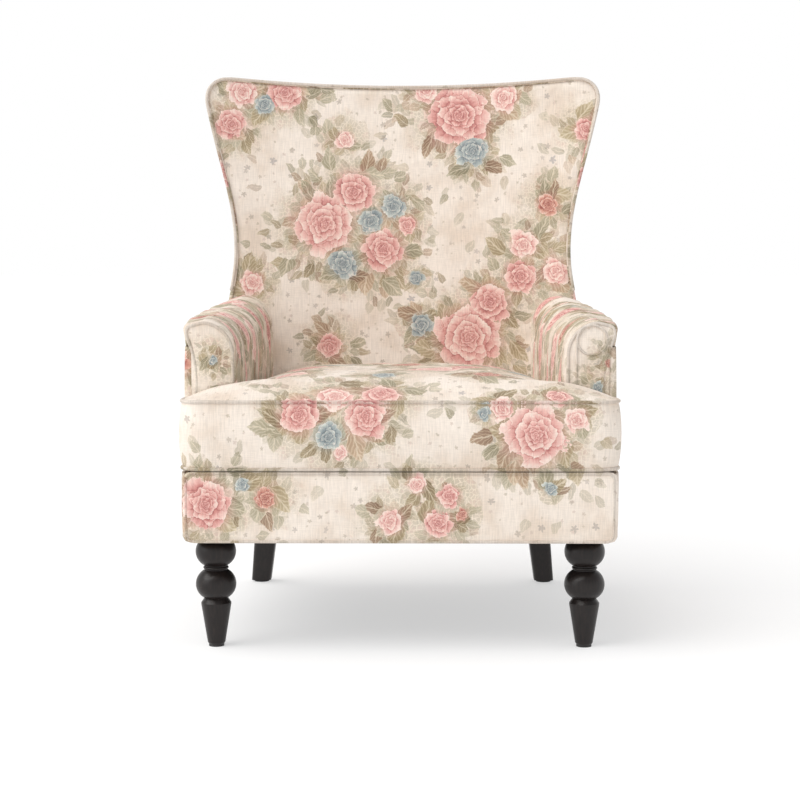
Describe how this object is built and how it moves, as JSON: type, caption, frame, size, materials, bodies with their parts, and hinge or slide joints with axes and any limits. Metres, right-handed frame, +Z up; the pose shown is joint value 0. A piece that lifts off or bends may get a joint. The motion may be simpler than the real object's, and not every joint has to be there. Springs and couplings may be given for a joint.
{
  "type": "upholstered armchair",
  "caption": "Upholstered armchair with a flared curved back, low rolled arms, a loose boxed seat cushion, turned front legs and raked rear legs.",
  "frame": {"origin": "on the floor, under the middle of the chair's outline", "axes": "+X to the right of a viewer who faces the chair, +Y from its front to its back, +Z up; left is -X"},
  "size_m": [0.7846, 0.7832, 1.0186],
  "materials": {
    "floral_fabric": "printed cotton-linen, woven, matte, cream with roses and leaves",
    "leg_wood": "near-black brown stain, satin lacquer",
    "frame_wood": "unfinished sawn hardwood",
    "zinc_steel": "zinc-plated steel",
    "zip_metal": "antique nickel-brass",
    "zip_tape": "woven polyester tape with nylon coil, cream",
    "glide": "dark nylon",
    "foam": "foam with polyester wrap",
    "deck_cloth": "plain cream cotton over cotton felt",
    "black_cloth": "thin non-woven cambric",
    "burlap": "jute"
  },
  "bodies": {
    "chair": {"back_liner_rail": "frame_wood", "back_stile": "frame_wood", "back_top_panel": "floral_fabric", "back_top_rail": "frame_wood", "back_tuck_panel": "floral_fabric", "back_webbing": "burlap", "back_welt": "floral_fabric", "base_welt": "floral_fabric", "corner_blocks": "frame_wood", "deck_pad": "deck_cloth", "dust_cover": "black_cloth", "front_border": "floral_fabric", "front_seat_rail": "frame_wood", "inside_back_pad": "floral_fabric", "left_arm_facing": "frame_wood", "left_arm_front_panel": "floral_fabric", "left_arm_pad": "floral_fabric", "left_arm_post": "frame_wood", "left_arm_rail": "frame_wood", "left_arm_welt": "floral_fabric", "left_back_post": "frame_wood", "left_back_side_panel": "floral_fabric", "left_front_leg": "leg_wood", "left_outside_arm_panel": "floral_fabric", "left_rear_leg": "leg_wood", "left_seat_rail": "frame_wood", "leg_bolts": "zinc_steel", "leg_glides": "glide", "leg_plates": "zinc_steel", "outside_back_panel": "floral_fabric", "rear_seat_rail": "frame_wood", "right_arm_facing": "frame_wood", "right_arm_front_panel": "floral_fabric", "right_arm_pad": "floral_fabric", "right_arm_post": "frame_wood", "right_arm_rail": "frame_wood", "right_arm_welt": "floral_fabric", "right_back_post": "frame_wood", "right_back_side_panel": "floral_fabric", "right_front_leg": "leg_wood", "right_outside_arm_panel": "floral_fabric", "right_rear_leg": "leg_wood", "right_seat_rail": "frame_wood", "seat_springs": "zinc_steel", "spring_clips": "zinc_steel", "spring_cover": "burlap"},
    "cushion": {"cushion_core": "foam", "cushion_top_cover": "floral_fabric", "cushion_bottom_cover": "floral_fabric", "cushion_boxing": "floral_fabric", "cushion_zip_boxing": "floral_fabric", "cushion_top_welt": "floral_fabric", "cushion_bottom_welt": "floral_fabric", "zip_tape": "zip_tape", "zip_coil": "zip_tape"},
    "zipper_slider": {"zip_slider": "zip_metal"},
    "zipper_pull": {"zip_pull": "zip_metal"}
  },
  "joints": [
    {"name": "seat_cushion_lift", "type": "slide", "parent": "chair", "child": "cushion", "axis": [0, 0, 1], "range_m": [0, 0.3]},
    {"name": "zip_slider_run", "type": "slide", "parent": "cushion", "child": "zipper_slider", "axis": [1, 0, 0], "range_m": [0, 0.38]},
    {"name": "zip_pull_hinge", "type": "hinge", "parent": "zipper_slider", "child": "zipper_pull", "pos_m": [-0.197, 0.17018, 0.374], "axis": [1, 0, 0], "range_deg": [0, 170]}
  ]
}
